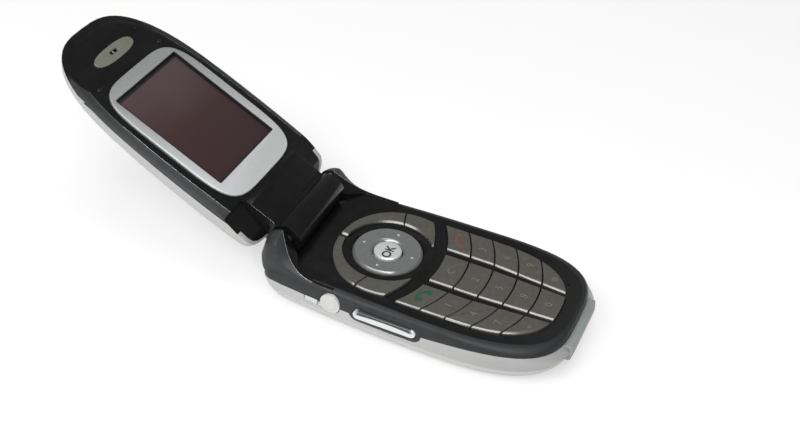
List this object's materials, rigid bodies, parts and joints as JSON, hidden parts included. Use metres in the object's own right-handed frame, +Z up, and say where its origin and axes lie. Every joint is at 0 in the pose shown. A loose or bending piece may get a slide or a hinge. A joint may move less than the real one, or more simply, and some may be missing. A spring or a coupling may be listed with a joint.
{
  "type": "clamshell mobile phone",
  "caption": "Clamshell phone lying open on its back: a rounded keypad base, a hinge held between two ears, and a tapered lid that carries the display and earpiece.",
  "frame": {"origin": "middle of the flat underside of the base, on the surface that the phone rests on", "axes": "+Y along the base towards the hinge, +X to the right of someone reading the keys, +Z up"},
  "size_m": [0.0467, 0.1513, 0.0534],
  "materials": {
    "black_shell": "high-gloss black with a satin dark grey side",
    "silver_shell": "satin silver paint",
    "bezel_metal": "brushed along its length",
    "nav_metal": "satin metal with a bright bevel",
    "bright_metal": "bright satin plating",
    "key_finish": "warm grey metallic coat",
    "grille_metal": "khaki satin metal",
    "window_lens": "smoked, glossy",
    "panel": "display glass, switched off",
    "circuit_board": "solder mask",
    "steel": "plain sheet and turned steel",
    "dark_plastic": "moulded",
    "contact_metal": "gold-coloured plating",
    "soft_rubber": "silicone",
    "ribbon_film": "amber polyimide film",
    "pale_plastic": "moulded"
  },
  "bodies": {
    "base": {"front_housing": "black_shell", "rear_housing": "silver_shell", "jack_strap": "silver_shell", "main_board": "circuit_board", "shield_can": "steel", "dome_sheet": "steel", "system_connector": "steel", "vibration_motor": "steel", "housing_screws": "steel", "hinge_shaft": "steel", "hinge_pin": "steel", "battery_pack": "dark_plastic", "side_switch": "dark_plastic", "headset_jack": "dark_plastic", "microphone": "dark_plastic", "battery_contacts": "contact_metal", "keypad_mat": "soft_rubber", "antenna": "pale_plastic"},
    "lid": {"lid_inner_housing": "black_shell", "lid_outer_cover": "silver_shell", "display_bezel": "bezel_metal", "display_window": "window_lens", "display_module": "panel", "lid_board": "circuit_board", "earpiece_grille": "grille_metal", "earpiece_speaker": "dark_plastic", "hinge_cartridge": "steel", "hinge_bush": "pale_plastic", "flex_cable": "ribbon_film", "lid_bumpers": "soft_rubber"},
    "softkey_upper_left": {"softkey_upper_left": "key_finish"},
    "softkey_upper_right": {"softkey_upper_right": "key_finish"},
    "softkey_lower_left": {"softkey_lower_left": "key_finish"},
    "softkey_lower_right": {"softkey_lower_right": "key_finish"},
    "key_call": {"key_call": "key_finish"},
    "key_1": {"key_1": "key_finish"},
    "key_4": {"key_4": "key_finish"},
    "key_7": {"key_7": "key_finish"},
    "key_star": {"key_star": "key_finish"},
    "key_clear": {"key_clear": "key_finish"},
    "key_2": {"key_2": "key_finish"},
    "key_5": {"key_5": "key_finish"},
    "key_8": {"key_8": "key_finish"},
    "key_0": {"key_0": "key_finish"},
    "key_end": {"key_end": "key_finish"},
    "key_3": {"key_3": "key_finish"},
    "key_6": {"key_6": "key_finish"},
    "key_9": {"key_9": "key_finish"},
    "key_hash": {"key_hash": "key_finish"},
    "ok_key": {"ok_key": "bright_metal"},
    "nav_pivot": {"nav_pivot": "soft_rubber"},
    "nav_disc": {"nav_disc": "nav_metal"},
    "volume_key": {"volume_key": "bright_metal"},
    "jack_cover": {"jack_cover": "silver_shell"},
    "connector_cover": {"connector_cover": "silver_shell"},
    "battery_cover": {"battery_cover": "silver_shell"}
  },
  "joints": [
    {"name": "lid_hinge", "type": "hinge", "parent": "base", "child": "lid", "pos_m": [0, 0.0379, 0.0167], "axis": [1, 0, 0], "range_deg": [0, 153.5]},
    {"name": "softkey_upper_left_press", "type": "slide", "parent": "base", "child": "softkey_upper_left", "axis": [0, 0, -1], "range_m": [0, 0.00035], "stiffness_N_per_m": 200},
    {"name": "softkey_upper_right_press", "type": "slide", "parent": "base", "child": "softkey_upper_right", "axis": [0, 0, -1], "range_m": [0, 0.00035], "stiffness_N_per_m": 200},
    {"name": "softkey_lower_left_press", "type": "slide", "parent": "base", "child": "softkey_lower_left", "axis": [0, 0, -1], "range_m": [0, 0.00035], "stiffness_N_per_m": 200},
    {"name": "softkey_lower_right_press", "type": "slide", "parent": "base", "child": "softkey_lower_right", "axis": [0, 0, -1], "range_m": [0, 0.00035], "stiffness_N_per_m": 200},
    {"name": "key_call_press", "type": "slide", "parent": "base", "child": "key_call", "axis": [0, 0, -1], "range_m": [0, 0.00035], "stiffness_N_per_m": 200},
    {"name": "key_1_press", "type": "slide", "parent": "base", "child": "key_1", "axis": [0, 0, -1], "range_m": [0, 0.00035], "stiffness_N_per_m": 200},
    {"name": "key_4_press", "type": "slide", "parent": "base", "child": "key_4", "axis": [0, 0, -1], "range_m": [0, 0.00035], "stiffness_N_per_m": 200},
    {"name": "key_7_press", "type": "slide", "parent": "base", "child": "key_7", "axis": [0, 0, -1], "range_m": [0, 0.00035], "stiffness_N_per_m": 200},
    {"name": "key_star_press", "type": "slide", "parent": "base", "child": "key_star", "axis": [0, 0, -1], "range_m": [0, 0.00035], "stiffness_N_per_m": 200},
    {"name": "key_clear_press", "type": "slide", "parent": "base", "child": "key_clear", "axis": [0, 0, -1], "range_m": [0, 0.00035], "stiffness_N_per_m": 200},
    {"name": "key_2_press", "type": "slide", "parent": "base", "child": "key_2", "axis": [0, 0, -1], "range_m": [0, 0.00035], "stiffness_N_per_m": 200},
    {"name": "key_5_press", "type": "slide", "parent": "base", "child": "key_5", "axis": [0, 0, -1], "range_m": [0, 0.00035], "stiffness_N_per_m": 200},
    {"name": "key_8_press", "type": "slide", "parent": "base", "child": "key_8", "axis": [0, 0, -1], "range_m": [0, 0.00035], "stiffness_N_per_m": 200},
    {"name": "key_0_press", "type": "slide", "parent": "base", "child": "key_0", "axis": [0, 0, -1], "range_m": [0, 0.00035], "stiffness_N_per_m": 200},
    {"name": "key_end_press", "type": "slide", "parent": "base", "child": "key_end", "axis": [0, 0, -1], "range_m": [0, 0.00035], "stiffness_N_per_m": 200},
    {"name": "key_3_press", "type": "slide", "parent": "base", "child": "key_3", "axis": [0, 0, -1], "range_m": [0, 0.00035], "stiffness_N_per_m": 200},
    {"name": "key_6_press", "type": "slide", "parent": "base", "child": "key_6", "axis": [0, 0, -1], "range_m": [0, 0.00035], "stiffness_N_per_m": 200},
    {"name": "key_9_press", "type": "slide", "parent": "base", "child": "key_9", "axis": [0, 0, -1], "range_m": [0, 0.00035], "stiffness_N_per_m": 200},
    {"name": "key_hash_press", "type": "slide", "parent": "base", "child": "key_hash", "axis": [0, 0, -1], "range_m": [0, 0.00035], "stiffness_N_per_m": 200},
    {"name": "ok_key_press", "type": "slide", "parent": "base", "child": "ok_key", "axis": [0, 0, -1], "range_m": [0, 0.00035], "stiffness_N_per_m": 200},
    {"name": "nav_pitch", "type": "hinge", "parent": "base", "child": "nav_pivot", "pos_m": [0, 0.0138, 0.011], "axis": [1, 0, 0], "range_deg": [-2, 2], "stiffness_Nm_per_rad": 0.3},
    {"name": "nav_roll", "type": "hinge", "parent": "nav_pivot", "child": "nav_disc", "pos_m": [0, 0.0138, 0.011], "axis": [0, 1, 0], "range_deg": [-2, 2], "stiffness_Nm_per_rad": 0.3},
    {"name": "volume_rock", "type": "hinge", "parent": "base", "child": "volume_key", "pos_m": [-0.0215, 0.0043, 0.0089], "axis": [0, 0, 1], "range_deg": [-2, 2], "stiffness_Nm_per_rad": 0.3},
    {"name": "jack_cover_swing", "type": "hinge", "parent": "base", "child": "jack_cover", "pos_m": [-0.02206, 0.02339, 0.0072], "axis": [0, 0, -1], "range_deg": [0, 110]},
    {"name": "connector_cover_swing", "type": "hinge", "parent": "base", "child": "connector_cover", "pos_m": [0.0103, -0.04215, 0.007], "axis": [0, 0, 1], "range_deg": [0, 110]},
    {"name": "battery_cover_slide", "type": "slide", "parent": "base", "child": "battery_cover", "axis": [0, -1, 0], "range_m": [0, 0.005]}
  ]
}
